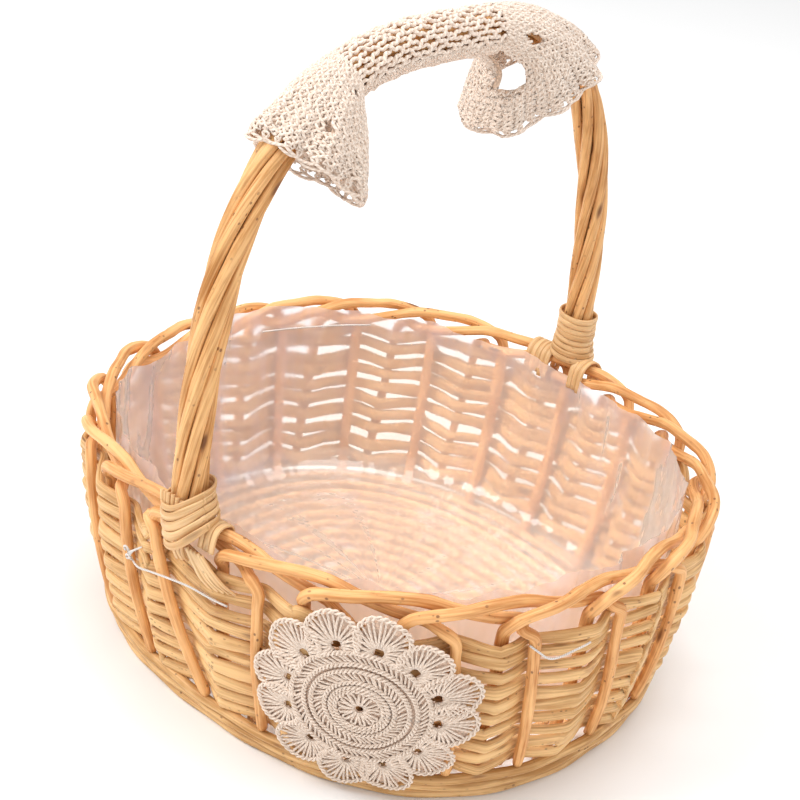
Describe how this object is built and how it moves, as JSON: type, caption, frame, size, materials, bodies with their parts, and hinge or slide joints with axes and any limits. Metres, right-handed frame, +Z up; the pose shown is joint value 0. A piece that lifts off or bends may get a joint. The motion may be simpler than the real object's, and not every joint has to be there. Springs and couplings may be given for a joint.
{
  "type": "flower girl basket",
  "caption": "Oval woven willow basket with a twisted fixed handle, crochet handle sleeve and flower, and a clear film liner.",
  "frame": {"origin": "middle of the basket's footprint on the surface it stands on", "axes": "+Z up, +X along the basket's length, +Y across it towards the far handle foot; the handle spans Y"},
  "size_m": [0.2989, 0.2876, 0.3105],
  "materials": {
    "border_willow": "peeled honey willow, satin",
    "weaver_willow": "pale peeled willow, satin",
    "base_willow": "pale willow, matte",
    "handle_willow": "honey willow with dark knots, satin",
    "split_cane": "split willow skein, satin",
    "crochet_cotton": "cream cotton crochet",
    "flower_cotton": "natural cotton crochet",
    "liner_film": "clear film, glossy and creased",
    "white_thread": "white sewing thread"
  },
  "bodies": {
    "root": {"base_cross_sticks": "base_willow", "base_long_sticks": "base_willow", "base_weave": "base_willow", "crochet_cuff_far": "crochet_cotton", "crochet_cuff_near": "crochet_cotton", "crochet_flower": "flower_cotton", "crochet_sleeve": "crochet_cotton", "far_foot_lashing": "split_cane", "far_foot_wraps": "split_cane", "foot_waling": "weaver_willow", "handle_core": "handle_willow", "handle_strand_1": "handle_willow", "handle_strand_2": "handle_willow", "handle_strand_3": "handle_willow", "handle_strand_4": "handle_willow", "handle_strand_5": "handle_willow", "handle_strand_6": "handle_willow", "liner": "liner_film", "liner_stitches": "white_thread", "middle_waling": "weaver_willow", "near_foot_lashing": "split_cane", "near_foot_wraps": "split_cane", "stake_01": "border_willow", "stake_02": "border_willow", "stake_03": "border_willow", "stake_04": "border_willow", "stake_05": "border_willow", "stake_06": "border_willow", "stake_07": "border_willow", "stake_08": "border_willow", "stake_09": "border_willow", "stake_10": "border_willow", "stake_11": "border_willow", "stake_12": "border_willow", "stake_13": "border_willow", "stake_14": "border_willow", "stake_15": "border_willow", "stake_16": "border_willow", "stake_17": "border_willow", "stake_18": "border_willow", "stake_19": "border_willow", "stake_20": "border_willow", "stake_21": "border_willow", "upper_waling": "weaver_willow", "weaver_01": "weaver_willow", "weaver_02": "weaver_willow", "weaver_03": "weaver_willow", "weaver_04": "weaver_willow", "weaver_05": "weaver_willow", "weaver_06": "weaver_willow", "weaver_07": "weaver_willow", "weaver_08": "weaver_willow", "weaver_09": "weaver_willow", "weaver_10": "weaver_willow"}
  },
  "joints": []
}
